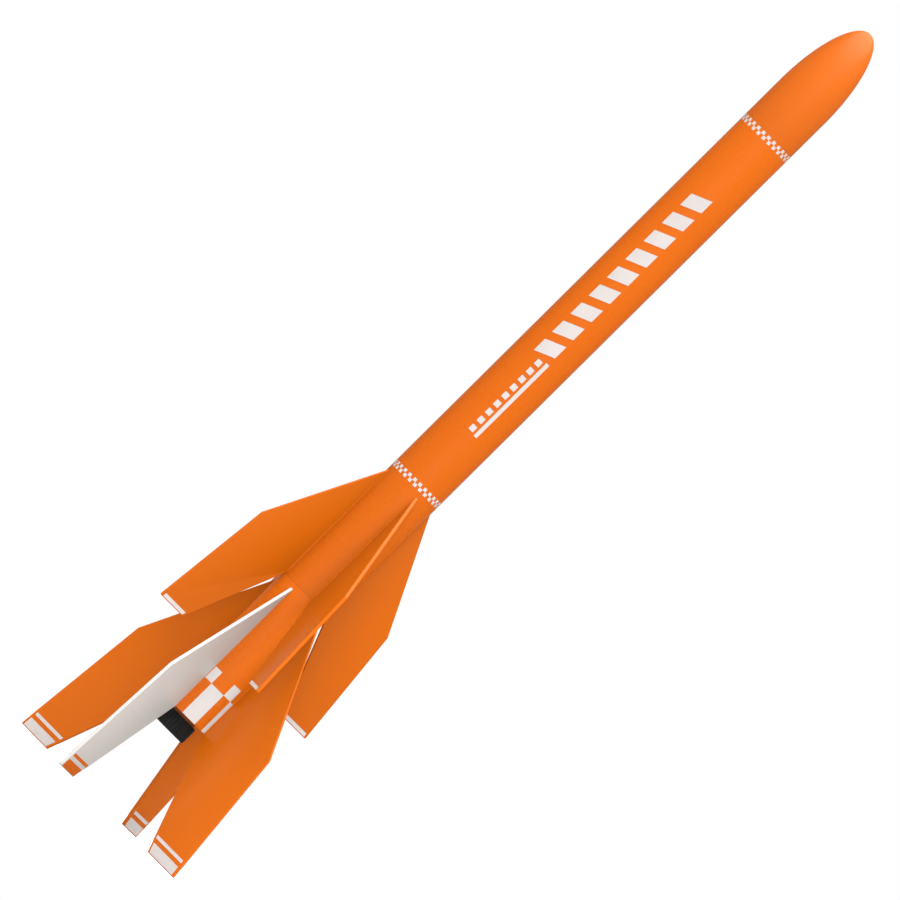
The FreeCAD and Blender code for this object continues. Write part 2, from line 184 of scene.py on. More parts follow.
# camera: it looks level at a point just below the rocket's middle, is rolled so that the rocket
# lies across the picture, and stands so far away that perspective hardly shows
CAMERA_AZIMUTH = 25.8
CAMERA_ROLL = 45.25
CAMERA_HEIGHT = 328.3 * MM
CAMERA_SIDESTEP = -0.42 * MM
CAMERA_LENS = 1500
CAMERA_SENSOR = 36
VIEW_WIDTH = 594.3 * MM
CLIP_START = 1
CLIP_END = 60

# light from all round, and what reflections see of it, which is lighter only behind the rocket;
# frontness runs from -1 straight behind it to 1 straight in front
DOME_COLOUR = (1, 0.985, 0.97, 1)
DOME_SHARE = 0.46
MIRRORED_FRONT = 0.04
MIRRORED_BACK = 0.34
BACK_FRONTNESS = -1.0
SIDE_FRONTNESS = -0.6

# distant lights, as (name, azimuth, elevation, share, spread, whether reflections show it)
SUNS = [
    ("front_light", CAMERA_AZIMUTH + 8, 8, 0.26, 56, False),
    ("back_light", CAMERA_AZIMUTH + 180, 25, 0.15, 60, False),
    ("top_light", CAMERA_AZIMUTH, 85, 1.12, 104, True),
]

# floor: what it shows to the camera, gives back to matt surfaces and shows in reflections
FLOOR_SHOWN = [(0.3, (0.88, 0.88, 0.88, 1)), (0.7, (0.92, 0.92, 0.92, 1))]
FLOOR_GLOW = 0.35
FLOOR_GIVEN_BACK = (0.5, 0.5, 0.5, 1)
FLOOR_MIRRORED = (0.05, 0.05, 0.05, 1)
FLOOR_R = 0.62
FLOOR_DEPTH = 4 * MM
FLOOR_DROP = 0.02 * MM
FLOOR_SEGMENTS = 128

# ---------------------------------------------------------------- camera, light and floor


def away(azimuth, elevation=0.0):
    """Unit vector from the rocket towards an azimuth (0 is -Y, 90 is +X) and an elevation."""
    a = math.radians(azimuth)
    e = math.radians(elevation)
    return Vector((math.sin(a) * math.cos(e), -math.cos(a) * math.cos(e), math.sin(e)))


def make_camera():
    roll = math.radians(CAMERA_ROLL)
    back = away(CAMERA_AZIMUTH)
    level = away(CAMERA_AZIMUTH + 90)
    up = Vector((0, 0, 1))
    across = level * math.cos(roll) + up * math.sin(roll)
    upright = up * math.cos(roll) - level * math.sin(roll)
    aim = up * CAMERA_HEIGHT + level * CAMERA_SIDESTEP
    data = bpy.data.cameras.new("camera")
    data.lens = CAMERA_LENS
    data.sensor_width = CAMERA_SENSOR
    data.clip_start = CLIP_START
    data.clip_end = CLIP_END
    camera = bpy.data.objects.new("camera", data)
    bpy.context.scene.collection.objects.link(camera)
    camera.matrix_world = Matrix((across, upright, back)).transposed().to_4x4()
    camera.location = aim + back * (VIEW_WIDTH * CAMERA_LENS / CAMERA_SENSOR)
    bpy.context.scene.camera = camera


def make_sun(name, azimuth, elevation, share, spread, in_gloss):
    """A distant soft light. A share of 1 lights a matt surface that faces it to its full colour."""
    data = bpy.data.lights.new(name, "SUN")
    data.energy = share * math.pi
    data.angle = math.radians(spread)
    sun = bpy.data.objects.new(name, data)
    bpy.context.scene.collection.objects.link(sun)
    sun.rotation_mode = "QUATERNION"
    sun.rotation_quaternion = (-away(azimuth, elevation)).to_track_quat("-Z", "Y")
    sun.visible_glossy = in_gloss


def make_world():
    """Even light from all round, pure white to the camera, and dim in reflections but for the back."""
    world = bpy.data.worlds.new("studio")
    bpy.context.scene.world = world
    world.use_nodes = True
    tree = world.node_tree
    shown = tree.nodes["Background"]
    shown.inputs["Color"].default_value = (1, 1, 1, 1)
    dome = tree.nodes.new("ShaderNodeBackground")
    dome.inputs["Color"].default_value = DOME_COLOUR
    dome.inputs["Strength"].default_value = DOME_SHARE
    mirrored = tree.nodes.new("ShaderNodeBackground")
    way = tree.nodes.new("ShaderNodeTexCoord").outputs["Generated"]
    frontness = tree.nodes.new("ShaderNodeVectorMath")
    frontness.operation = "DOT_PRODUCT"
    frontness.inputs[1].default_value = away(CAMERA_AZIMUTH)
    tree.links.new(way, frontness.inputs[0])
    falloff = tree.nodes.new("ShaderNodeMapRange")
    falloff.inputs["From Min"].default_value = BACK_FRONTNESS
    falloff.inputs["From Max"].default_value = SIDE_FRONTNESS
    falloff.inputs["To Min"].default_value = MIRRORED_BACK
    falloff.inputs["To Max"].default_value = MIRRORED_FRONT
    tree.links.new(frontness.outputs["Value"], falloff.inputs["Value"])
    tree.links.new(falloff.outputs["Result"], mirrored.inputs["Strength"])
    path = tree.nodes.new("ShaderNodeLightPath")
    unseen = tree.nodes.new("ShaderNodeMixShader")
    tree.links.new(path.outputs["Is Glossy Ray"], unseen.inputs[0])
    tree.links.new(dome.outputs[0], unseen.inputs[1])
    tree.links.new(mirrored.outputs[0], unseen.inputs[2])
    whole = tree.nodes.new("ShaderNodeMixShader")
    tree.links.new(path.outputs["Is Camera Ray"], whole.inputs[0])
    tree.links.new(unseen.outputs[0], whole.inputs[1])
    tree.links.new(shown.outputs[0], whole.inputs[2])
    tree.links.new(whole.outputs[0], tree.nodes["World Output"].inputs["Surface"])


def make_studio():
    bpy.context.scene.view_settings.view_transform = "Standard"
    make_world()
    for settings in SUNS:
        make_sun(*settings)


# ---------------------------------------------------------------- material building


def tint(colour, amount):
    """The colour made lighter or darker, with full opacity."""
    return tuple(min(1.0, channel * amount) for channel in colour[:3]) + (1.0,)


class Look:
    """A material being made, with short ways to add its nodes."""

    def __init__(self, name, specular=0.5, metallic=0.0, coat=0.0, coat_roughness=0.1, sheen=0.0):
        self.material = bpy.data.materials.new(name)
        self.material.use_nodes = True
        self.tree = self.material.node_tree
        self.shader = self.tree.nodes["Principled BSDF"]
        self.shader.inputs["Specular IOR Level"].default_value = specular
        self.shader.inputs["Metallic"].default_value = metallic
        self.shader.inputs["Coat Weight"].default_value = coat
        self.shader.inputs["Coat Roughness"].default_value = coat_roughness
        self.shader.inputs["Sheen Weight"].default_value = sheen
        self.place = self.add("ShaderNodeTexCoord").outputs["Object"]
        self.last_bump = None

    def add(self, kind, **settings):
        node = self.tree.nodes.new(kind)
        for key, value in settings.items():
            setattr(node, key, value)
        return node

    def feed(self, socket, value):
        """Gives a socket another node's output or a constant."""
        if isinstance(value, bpy.types.NodeSocket):
            self.tree.links.new(value, socket)
        else:
            socket.default_value = value

    def maths(self, operation, first, second=0.0):
        node = self.add("ShaderNodeMath", operation=operation)
        self.feed(node.inputs[0], first)
        self.feed(node.inputs[1], second)
        return node.outputs[0]

    def stretch(self, x, y, z):
        """The place on the object, scaled along each axis."""
        node = self.add("ShaderNodeMapping")
        self.feed(node.inputs["Vector"], self.place)
        node.inputs["Scale"].default_value = (x, y, z)
        return node.outputs["Vector"]

    def noise(self, scale, detail=3.0, vector=None, twist=0.0):
        """Soft noise from 0 to 1. The scale is in lumps per metre."""
        node = self.add("ShaderNodeTexNoise")
        self.feed(node.inputs["Vector"], self.place if vector is None else vector)
        node.inputs["Scale"].default_value = scale
        node.inputs["Detail"].default_value = detail
        node.inputs["Distortion"].default_value = twist
        return node.outputs["Fac"]

    def cells(self, scale):
        """Distance to the nearest of many scattered points."""
        node = self.add("ShaderNodeTexVoronoi")
        self.feed(node.inputs["Vector"], self.place)
        node.inputs["Scale"].default_value = scale
        return node.outputs["Distance"]

    def between(self, value, low, high, new_low, new_high):
        node = self.add("ShaderNodeMapRange")
        self.feed(node.inputs["Value"], value)
        node.inputs["From Min"].default_value = low
        node.inputs["From Max"].default_value = high
        node.inputs["To Min"].default_value = new_low
        node.inputs["To Max"].default_value = new_high
        return node.outputs["Result"]

    def shades(self, value, stops):
        """A colour for each value, from (value, colour) pairs."""
        node = self.add("ShaderNodeValToRGB")
        self.feed(node.inputs["Fac"], value)
        ramp = node.color_ramp
        ramp.elements[0].position, ramp.elements[0].color = stops[0]
        ramp.elements[1].position, ramp.elements[1].color = stops[-1]
        for place, colour in stops[1:-1]:
            ramp.elements.new(place).color = colour
        return node.outputs["Color"]

    def mixed(self, share, first, second):
        node = self.add("ShaderNodeMix", data_type="RGBA")
        self.feed(node.inputs[0], share)
        self.feed(node.inputs[6], first)
        self.feed(node.inputs[7], second)
        return node.outputs[2]

    def spiral(self, pitch, gap):
        """1 on a thin line that winds up a tube, as its paper's seam does, and 0 elsewhere."""
        split = self.add("ShaderNodeSeparateXYZ")
        self.feed(split.inputs[0], self.place)
        turn = self.maths("ARCTAN2", split.outputs[0], split.outputs[1])
        turns = self.maths("DIVIDE", turn, 2 * math.pi)
        climb = self.maths("DIVIDE", split.outputs[2], pitch)
        wound = self.maths("FRACT", self.maths("ADD", climb, turns))
        off_line = self.maths("ABSOLUTE", self.maths("SUBTRACT", wound, 0.5))
        return self.between(off_line, 0.0, gap / pitch, 1.0, 0.0)

    def colour(self, value):
        self.feed(self.shader.inputs["Base Color"], value)

    def roughness(self, value, low, high):
        self.feed(self.shader.inputs["Roughness"], self.between(value, 0.3, 0.7, low, high))

    def bump(self, height, depth):
        """Adds relief of that depth in metres to what is there already."""
        node = self.add("ShaderNodeBump")
        node.inputs["Strength"].default_value = 1.0
        node.inputs["Distance"].default_value = depth
        self.feed(node.inputs["Height"], height)
        if self.last_bump is not None:
            self.feed(node.inputs["Normal"], self.last_bump)
        self.last_bump = node.outputs["Normal"]
        self.feed(self.shader.inputs["Normal"], self.last_bump)


# ---------------------------------------------------------------- materials


# paint: how much of its own colour it sheds on its neighbours, its orange peel, and how far up
# the tail its painted light reaches, a lighter colour standing for the light on the fins' tips
BOUNCE_SHARE = 0.08
PEEL_DEPTH = 0.0006 * MM
PAINTED_LIGHT_TAIL_REACH = 120 * MM


def paint(name, colour, gloss=(0.265, 0.29), specular=0.4, tail_painted_light_gain=1.0):
    """Sprayed enamel: a little cloudy, with a fine orange peel.

    The light it sheds on its neighbours is duller than its colour, so that corners don't turn red.
    Above 1, the tail gain paints it lighter towards the tail: painted light on the fins' tips, away
    from the shade near the tube.
    """
    look = Look(name, specular=specular)
    cloud = look.noise(24, 4)
    shade = look.shades(cloud, [(0.32, tint(colour, 0.985)), (0.68, tint(colour, 1.01))])
    # painted light: the colour grows lighter towards the tail
    if tail_painted_light_gain > 1:
        split = look.add("ShaderNodeSeparateXYZ")
        look.feed(split.inputs[0], look.place)
        aft = look.between(split.outputs[2], 0.0, PAINTED_LIGHT_TAIL_REACH, 1.0, 0.0)
        shade = look.mixed(aft, shade, tint(colour, tail_painted_light_gain))
    bounced = [BOUNCE_SHARE * channel + (1 - BOUNCE_SHARE) * colour[1] for channel in colour]
    second_hand = look.add("ShaderNodeLightPath").outputs["Is Diffuse Ray"]
    look.colour(look.mixed(second_hand, shade, tint(bounced, 1.0)))
    look.roughness(look.noise(160, 5), *gloss)
    look.bump(look.noise(900, 2), PEEL_DEPTH)
    return look


def tube_paint(name, colour):
    """Enamel on a spiral-wound paper tube, whose filled seam just shows."""
    look = paint(name, colour)
    look.bump(look.spiral(92 * MM, 0.7 * MM), -0.02 * MM)
    look.bump(look.noise(45, 2), 0.01 * MM)
    return look.material


def fin_paint(name, colour):
    """Enamel on sealed balsa: the grain telegraphs through as fine long ripples."""
    # lighter towards the tail: painted light on the booster fins' tips, away from the shade at their
    # roots
    look = paint(name, colour, (0.29, 0.31), tail_painted_light_gain=1.1)
    grain = look.noise(1, 4, look.stretch(1500, 1500, 45), 0.4)
    look.bump(grain, 0.0012 * MM)
    return look.material


def nose_paint(name, colour):
    """Enamel on moulded plastic: smoother, with the mould's seam down both sides."""
    look = paint(name, colour, (0.36, 0.43), 0.55)
    split = look.add("ShaderNodeSeparateXYZ")
    look.feed(split.inputs[0], look.place)
    seam = math.radians(CAMERA_AZIMUTH + 90)
    across = look.maths("MULTIPLY", split.outputs[0], math.cos(seam))
    along = look.maths("MULTIPLY", split.outputs[1], math.sin(seam))
    off_seam = look.maths("ABSOLUTE", look.maths("ADD", across, along))
    look.bump(look.between(off_seam, 0.0, 0.25 * MM, 1.0, 0.0), 0.04 * MM)
    return look.material


def film(name, colour):
    """Thin printed film, glossier than the paint and faintly uneven."""
    look = Look(name, specular=0.5)
    look.colour(look.shades(look.noise(60, 3), [(0.3, tint(colour, 0.965)), (0.7, tint(colour, 1.02))]))
    look.roughness(look.noise(240, 4), 0.16, 0.27)
    look.bump(look.noise(400, 3), 0.008 * MM)
    return look.material


def moulded(name, colour, low, high, texture=0.02 * MM):
    """Moulded plastic with a fine texture and a few flow marks."""
    look = Look(name, specular=0.45)
    flow = look.noise(1, 3, look.stretch(40, 40, 110), 0.8)
    look.colour(look.shades(flow, [(0.3, tint(colour, 0.86)), (0.7, tint(colour, 1.12))]))
    look.roughness(look.noise(500, 4), low, high)
    look.bump(look.noise(1600, 3), texture)
    return look.material


def paper(name, colour, pitch, fibre=0.05 * MM, smooth=(0.7, 0.9)):
    """Wound paper or board: mottled, fibrous, with a spiral seam if it has a pitch."""
    look = Look(name, specular=0.25)
    mottle = look.noise(140, 6)
    stops = [(0.28, tint(colour, 0.8)), (0.5, tint(colour, 1.0)), (0.74, tint(colour, 1.14))]
    shade = look.shades(mottle, stops)
    fibres = look.noise(1, 5, look.stretch(900, 900, 2600), 0.9)
    flecks = look.between(look.noise(1100, 2), 0.62, 0.72, 0.0, 0.35)
    shade = look.mixed(flecks, shade, tint(colour, 0.6))
    if pitch:
        seam = look.spiral(pitch, 0.5 * MM)
        shade = look.mixed(look.maths("MULTIPLY", seam, 0.6), shade, tint(colour, 0.5))
        look.bump(seam, -0.12 * MM)
    look.colour(shade)
    look.roughness(fibres, *smooth)
    look.bump(fibres, fibre)
    return look.material


def pressed_powder(name, colour, lump):
    """Powder or clay pressed hard: grains, pores and soft stains."""
    look = Look(name, specular=0.3)
    grains = look.cells(lump)
    stain = look.noise(220, 5)
    shade = look.shades(stain, [(0.3, tint(colour, 0.7)), (0.7, tint(colour, 1.25))])
    pores = look.between(grains, 0.0, 0.25, 0.5, 0.0)
    look.colour(look.mixed(pores, shade, tint(colour, 0.5)))
    look.roughness(look.noise(900, 4), 0.75, 0.95)
    look.bump(grains, 0.15 * MM)
    return look.material


def blued_steel(name, colour):
    """Spring steel with fine rolling lines and a straw-to-blue temper tint."""
    look = Look(name, specular=0.5, metallic=1.0)
    temper = look.noise(60, 3)
    blue = (0.16, 0.19, 0.27, 1.0)
    straw = (0.46, 0.38, 0.26, 1.0)
    look.colour(look.shades(temper, [(0.3, blue), (0.5, tint(colour, 0.8)), (0.75, straw)]))
    lines = look.noise(1, 4, look.stretch(4000, 4000, 120))
    look.roughness(lines, 0.22, 0.42)
    look.bump(lines, 0.012 * MM)
    return look.material


def canopy_film(name, first, second, panel):
    """Thin canopy sheet in panels of two colours, laid out along its length."""
    look = Look(name, specular=0.35, sheen=0.15)
    flat = look.add("ShaderNodeTexCoord").outputs["UV"]
    split = look.add("ShaderNodeSeparateXYZ")
    look.feed(split.inputs[0], flat)
    step = look.maths("PINGPONG", split.outputs[0], panel)
    side = look.between(step, panel * 0.5 - 0.3 * MM, panel * 0.5 + 0.3 * MM, 0.0, 1.0)
    cloud = look.noise(90, 4)
    one = look.shades(cloud, [(0.3, tint(first, 0.9)), (0.7, tint(first, 1.08))])
    two = look.shades(cloud, [(0.3, tint(second, 0.92)), (0.7, tint(second, 1.05))])
    look.colour(look.mixed(side, one, two))
    look.roughness(look.noise(700, 4), 0.32, 0.5)
    threads = look.maths("SINE", look.maths("MULTIPLY", split.outputs[0], 2 * math.pi / (0.35 * MM)))
    weft = look.maths("SINE", look.maths("MULTIPLY", split.outputs[1], 2 * math.pi / (0.35 * MM)))
    look.bump(look.maths("MULTIPLY", threads, weft), 0.012 * MM)
    look.bump(look.noise(260, 5), 0.12 * MM)
    return look.material


def tissue(name, colour):
    """Crumpled flame-proofed tissue."""
    look = Look(name, specular=0.15, sheen=0.2)
    creases = look.noise(420, 6, None, 1.2)
    look.colour(look.shades(creases, [(0.3, tint(colour, 0.84)), (0.7, tint(colour, 1.05))]))
    look.roughness(look.noise(1500, 3), 0.8, 0.95)
    look.bump(creases, 0.35 * MM)
    return look.material


def floor_finish():
    """Near white to the camera, a mid grey to matt surfaces and almost black in reflections."""
    look = Look("pale_floor", specular=0.1)
    look.colour(look.shades(look.noise(6, 3), FLOOR_SHOWN))
    look.roughness(look.noise(40, 3), 0.7, 0.85)
    look.shader.inputs["Emission Color"].default_value = (1, 1, 1, 1)
    look.shader.inputs["Emission Strength"].default_value = FLOOR_GLOW
    grey = look.add("ShaderNodeBsdfDiffuse")
    path = look.add("ShaderNodeLightPath")
    lit = look.mixed(path.outputs["Is Glossy Ray"], FLOOR_GIVEN_BACK, FLOOR_MIRRORED)
    look.feed(grey.inputs["Color"], lit)
    mix = look.add("ShaderNodeMixShader")
    look.feed(mix.inputs[0], path.outputs["Is Camera Ray"])
    look.feed(mix.inputs[1], grey.outputs[0])
    look.feed(mix.inputs[2], look.shader.outputs[0])
    look.feed(look.tree.nodes["Material Output"].inputs["Surface"], mix.outputs[0])
    return look.material


ORANGE = (0.90, 0.173, 0.005)
NOSE_ORANGE = (0.96, 0.184, 0.003)
FIN_ORANGE = (0.82, 0.162, 0.002)
# the fins' edge colours are lighter than their faces' colours: a painted highlight on the edges
HIGHLIGHT_EDGE_ORANGE = (0.98, 0.195, 0.006)
HIGHLIGHT_EDGE_WHITE = (0.93, 0.91, 0.88)
WHITE = (0.722, 0.683, 0.642)
KRAFT = (0.50, 0.335, 0.19)
CASING = (0.60, 0.45, 0.29)

MATERIALS = {
    "orange_tube": tube_paint("orange_tube_paint", ORANGE),
    "orange_fin": fin_paint("orange_fin_paint", FIN_ORANGE),
    "white_fin": fin_paint("white_fin_paint", WHITE),
    # the edge paints are a painted highlight, lighter copies of the fins' paints
    "orange_fin_edge": paint("orange_edge_highlight_paint", HIGHLIGHT_EDGE_ORANGE).material,
    "white_fin_edge": paint("white_edge_highlight_paint", HIGHLIGHT_EDGE_WHITE).material,
    "nose_plastic": nose_paint("orange_nose_paint", NOSE_ORANGE),
    "white_plastic": moulded("bare_white_plastic", (0.80, 0.78, 0.73), 0.38, 0.55),
    "white_film": film("white_film", (0.87, 0.80, 0.77)),
    "orange_film": film("orange_film", (0.84, 0.166, 0.008)),
    "black_plastic": moulded("black_plastic", (0.021, 0.021, 0.021), 0.34, 0.5),
    # dark orange for the retainer's base: orange overspray, darkened as painted shade for where it sits
    # in the shadow under the tube's aft end
    "orange_plastic": moulded("overspray_and_shade_plastic", (0.42, 0.10, 0.02), 0.5, 0.75),
    "kraft_board": paper("kraft_board", KRAFT, 60 * MM),
    "ring_board": paper("ring_board", (0.46, 0.31, 0.18), 0),
    "lug_paper": paper("painted_lug_paper", (0.80, 0.165, 0.014), 14 * MM, 0.02 * MM, (0.28, 0.42)),
    "motor_paper": paper("motor_paper", CASING, 40 * MM, 0.04 * MM, (0.5, 0.7)),
    "clay": pressed_powder("pressed_clay", (0.52, 0.47, 0.41), 1300),
    "black_powder": pressed_powder("pressed_powder", (0.035, 0.035, 0.037), 1900),
    "spring_steel": blued_steel("blued_spring_steel", (0.42, 0.42, 0.45)),
    "chute_film": canopy_film("canopy_film", (0.82, 0.17, 0.02), (0.84, 0.82, 0.78), 57 * MM),
    "tissue": tissue("crumpled_tissue", (0.80, 0.82, 0.79)),
    "anchor_paper": paper("anchor_paper", (0.74, 0.70, 0.61), 0, 0.05 * MM, (0.65, 0.85)),
}

# ---------------------------------------------------------------- mesh helpers


def on_tube(radius, angle, z):
    """The point at a distance from the axis, an angle and a height."""
    turn = math.radians(angle)
    return Vector((radius * math.sin(turn), -radius * math.cos(turn), z))


class Shell:
    """Vertices and faces of one piece while it is put together."""

    def __init__(self):
        self.vertices = []
        self.faces = []

    def add(self, vertices, faces):
        first = len(self.vertices)
        self.vertices += vertices
        self.faces += [[first + v for v in face] for face in faces]

    def sweep(self, rings, closed=True):
        """Joins rings of points one to the next, each ring a loop, with flat ends."""
        size = len(rings[0])
        vertices = [point for ring in rings for point in ring]
        faces = []
        for layer in range(len(rings) - 1):
            low = layer * size
            for side in range(size):
                after = (side + 1) % size
                faces.append([low + side, low + after, low + size + after, low + size + side])
        if closed:
            last = len(vertices) - size
            faces.append(list(range(size))[::-1])
            faces.append(list(range(last, last + size)))
        self.add(vertices, faces)

    def slab(self, point_at, across, along, thickness):
        """A thin closed sheet. point_at(s, t, depth) gives its points, s and t from 0 to 1."""
        vertices = []
        for depth in (0.0, thickness):
            for row in range(along + 1):
                for column in range(across + 1):
                    vertices.append(point_at(column / across, row / along, depth))
        wide = across + 1
        layer = wide * (along + 1)
        faces = []
        for row in range(along):
            for column in range(across):
                low = row * wide + column
                faces.append([low, low + wide, low + wide + 1, low + 1])
                faces.append([layer + low, layer + low + 1, layer + low + wide + 1, layer + low + wide])
        rim = list(range(across))
        rim += [row * wide + across for row in range(along)]
        rim += [along * wide + column for column in range(across, 0, -1)]
        rim += [row * wide for row in range(along, 0, -1)]
        for index, place in enumerate(rim):
            following = rim[(index + 1) % len(rim)]
            faces.append([place, following, layer + following, layer + place])
        self.add(vertices, faces)

    def piece(self, name, slot, body, nodes=(), sharp=35):
        """Makes the mesh, gives it its finish and puts it on its body."""
        mesh = bpy.data.meshes.new(name)
        mesh.from_pydata([tuple(v) for v in self.vertices], [], self.faces)
        draft = bmesh.new()
        draft.from_mesh(mesh)
        bmesh.ops.recalc_face_normals(draft, faces=draft.faces)
        draft.to_mesh(mesh)
        draft.free()
        mesh.shade_smooth()
        mesh.set_sharp_from_angle(angle=math.radians(sharp))
        mesh.materials.append(MATERIALS[slot])
        made = bpy.data.objects.new(name, mesh)
        bpy.context.scene.collection.objects.link(made)
        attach(made, body)
        if nodes:
            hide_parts(*nodes)
        return made


def round_corners(points, radii, steps=4):
    """A closed outline with an arc at each corner, all corners with the same number of points."""
    rounded = []
    for index, point in enumerate(points):
        corner = Vector(point)
        before = Vector(points[index - 1]) - corner
        after = Vector(points[(index + 1) % len(points)]) - corner
        half = before.angle(after) / 2
        reach = min(radii[index] / math.tan(half), 0.45 * min(before.length, after.length))
        bisector = (before.normalized() + after.normalized()).normalized()
        radius = reach * math.tan(half)
        centre = corner + bisector * (radius / math.sin(half))
        start = corner + before.normalized() * reach - centre
        end = corner + after.normalized() * reach - centre
        sweep = math.atan2(start.x * end.y - start.y * end.x, start.dot(end))
        for step in range(steps + 1):
            rounded.append(centre + Matrix.Rotation(sweep * step / steps, 2) @ start)
    return rounded


def lathe(shell, profile, segments=TUBE_SEGMENTS, centre=Vector((0, 0, 0))):
    """Turns a closed (distance, height) profile round an upright axis. A zero distance is one point."""
    vertices = []
    rings = []
    for radius, z in profile:
        if radius < 1e-8:
            rings.append([len(vertices)] * segments)
            vertices.append(centre + Vector((0, 0, z)))
            continue
        rings.append(list(range(len(vertices), len(vertices) + segments)))
        for index in range(segments):
            vertices.append(centre + on_tube(radius, index * 360 / segments, z))
    faces = []
    for index, ring in enumerate(rings):
        following = rings[(index + 1) % len(rings)]
        if ring[0] == ring[1] and following[0] == following[1]:
            continue
        for side in range(segments):
            after = (side + 1) % segments
            loop = [ring[side], ring[after], following[after], following[side]]
            faces.append([v for place, v in enumerate(loop) if v not in loop[:place]])
    shell.add(vertices, faces)


def tube_shell(outer, inner, low, high, rim=RIM, segments=TUBE_SEGMENTS, centre=Vector((0, 0, 0))):
    corners = [(outer, low), (outer, high), (inner, high), (inner, low)]
    shell = Shell()
    lathe(shell, round_corners(corners, [rim] * 4, 3), segments, centre)
    return shell


def bare_inside(made, slot, radius, low=-1.0, high=1.0):
    """Gives a second finish to the faces nearer the axis than a radius, between two heights."""
    made.data.materials.append(MATERIALS[slot])
    for polygon in made.data.polygons:
        middle = polygon.center
        if middle.xy.length < radius and low < middle.z < high:
            polygon.material_index = 1


# ---------------------------------------------------------------- tubes and nose


def make_tubes():
    bore = TUBE_R - TUBE_WALL
    tubes = [
        ("booster_body_tube", "booster_tube", "booster_stage", BOOSTER_AFT_Z, STAGE_Z),
        ("upper_body_tube", "sustainer_tube", "sustainer_stage", UPPER_AFT_Z, NOSE_JOINT_Z),
    ]
    for name, node, body, low, high in tubes:
        made = tube_shell(TUBE_R, bore, low, high).piece(name, "orange_tube", body, [node])
        bare_inside(made, "kraft_board", TUBE_R - 0.6 * RIM)
    inner = COUPLER_R - COUPLER_WALL
    low, high = low_z("stage_coupler"), high_z("stage_coupler")
    sleeve = tube_shell(COUPLER_R, inner, low, high)
    sleeve.piece("coupler_sleeve", "kraft_board", "booster_stage", ["stage_coupler"])


def ellipse(half_wide, height, steps):
    """Points of a nose's side from where it is straight to its tip."""
    turns = [math.pi / 2 * step / steps for step in range(steps + 1)]
    return [(half_wide * math.cos(t), NOSE_CURVE_Z + height * math.sin(t)) for t in turns]


def make_nose():
    """Hollow nose with its shoulder, open at the bottom."""
    inner_r = COUPLER_R - NOSE_WALL
    outside = ellipse(TUBE_R, NOSE_CURVE_HEIGHT, NOSE_STEPS)
    outside[-1] = (0, NOSE_TIP_Z)
    inside = ellipse(inner_r, NOSE_CURVE_HEIGHT - NOSE_TIP_WALL, NOSE_STEPS)
    inside[-1] = (0, NOSE_TIP_Z - NOSE_TIP_WALL)
    step_corners = [
        (inner_r, SHOULDER_Z),
        (COUPLER_R, SHOULDER_Z),
        (COUPLER_R, NOSE_BASE_Z),
        (TUBE_R, NOSE_BASE_Z),
        (TUBE_R, NOSE_CURVE_Z),
        (inner_r, NOSE_CURVE_Z),
    ]
    corner_radii = [0.3 * MM, 0.5 * MM, 0.05 * MM, RIM, SHARP_CORNER, SHARP_CORNER]
    rounding = 3
    rounded_corners = 4
    sides = round_corners(step_corners, corner_radii, rounding)[:rounded_corners * (rounding + 1)]
    shell = Shell()
    lathe(shell, [tuple(p) for p in sides] + outside + inside[::-1])
    made = shell.piece("nose_shell", "nose_plastic", "nose", ["nose_cone"])
    bare_inside(made, "white_plastic", TUBE_R - 0.25 * MM, high=NOSE_BASE_Z + 0.02 * MM)
    for polygon in made.data.polygons:
        middle = polygon.center
        rise = max(0.0, middle.z - NOSE_CURVE_Z) / NOSE_CURVE_HEIGHT
        skin = (TUBE_R - NOSE_WALL / 2) * math.sqrt(max(0.0, 1 - rise * rise))
        if middle.xy.length < skin and middle.z < NOSE_TIP_Z - NOSE_TIP_WALL:
            polygon.material_index = 1


# ---------------------------------------------------------------- fins


def edge_height(a, b, radius):
    """Height of the line through two outline points, at a distance from the axis."""
    return b[1] + (a[1] - b[1]) * (radius - b[0]) / (a[0] - b[0])


def edge_radius(a, b, z):
    """Distance from the axis of the line through two outline points, at a height."""
    return b[0] + (a[0] - b[0]) * (z - b[1]) / (a[1] - b[1])


def shrink(outline, depth):
    """The outline with every side but the last moved inwards, the last being the root."""
    count = len(outline)
    middle = sum((Vector(p) for p in outline), Vector((0, 0))) / count
    sides = []
    for index in range(count):
        start = Vector(outline[index])
        along = (Vector(outline[(index + 1) % count]) - start).normalized()
        inward = Vector((-along.y, along.x))
        if inward.dot(middle - start) < 0:
            inward.negate()
        if index < count - 1:
            start = start + inward * depth
        sides.append((start, along))
    corners = []
    for index in range(count):
        start, along = sides[index - 1]
        other, other_along = sides[index]
        gap = other - start
        cross = along.x * other_along.y - along.y * other_along.x
        corners.append(start + along * ((gap.x * other_along.y - gap.y * other_along.x) / cross))
    return corners


def fin_shell(outline, angle):
    """Sheet fin facing an angle, its free edges rounded, its root sunk in the tube's wall."""
    front, corner, tip_outer, tip_inner, aft = outline
    root = TUBE_R - ROOT_SUNK
    sunk = [
        (root, edge_height(corner, front, root)),
        corner,
        tip_outer,
        tip_inner,
        (root, edge_height(tip_inner, aft, root)),
    ]
    half = FIN_THICKNESS / 2
    turns = [math.pi / 2 * step / FIN_EDGE_STEPS for step in range(FIN_EDGE_STEPS + 1)]
    layers = [(-half + FIN_EDGE * (1 - math.cos(t)), FIN_EDGE * (1 - math.sin(t))) for t in turns]
    layers += [(-x, depth) for x, depth in layers[::-1]]
    spin = Matrix.Rotation(math.radians(angle), 3, "Z")
    rings = []
    for x, depth in layers:
        radii = [ROOT_CORNER] + [FIN_CORNER - depth] * 3 + [ROOT_CORNER]
        ring = round_corners(shrink(sunk, depth), radii)
        rings.append([spin @ Vector((x, -radius, z)) for radius, z in ring])
    shell = Shell()
    shell.sweep(rings)
    return shell


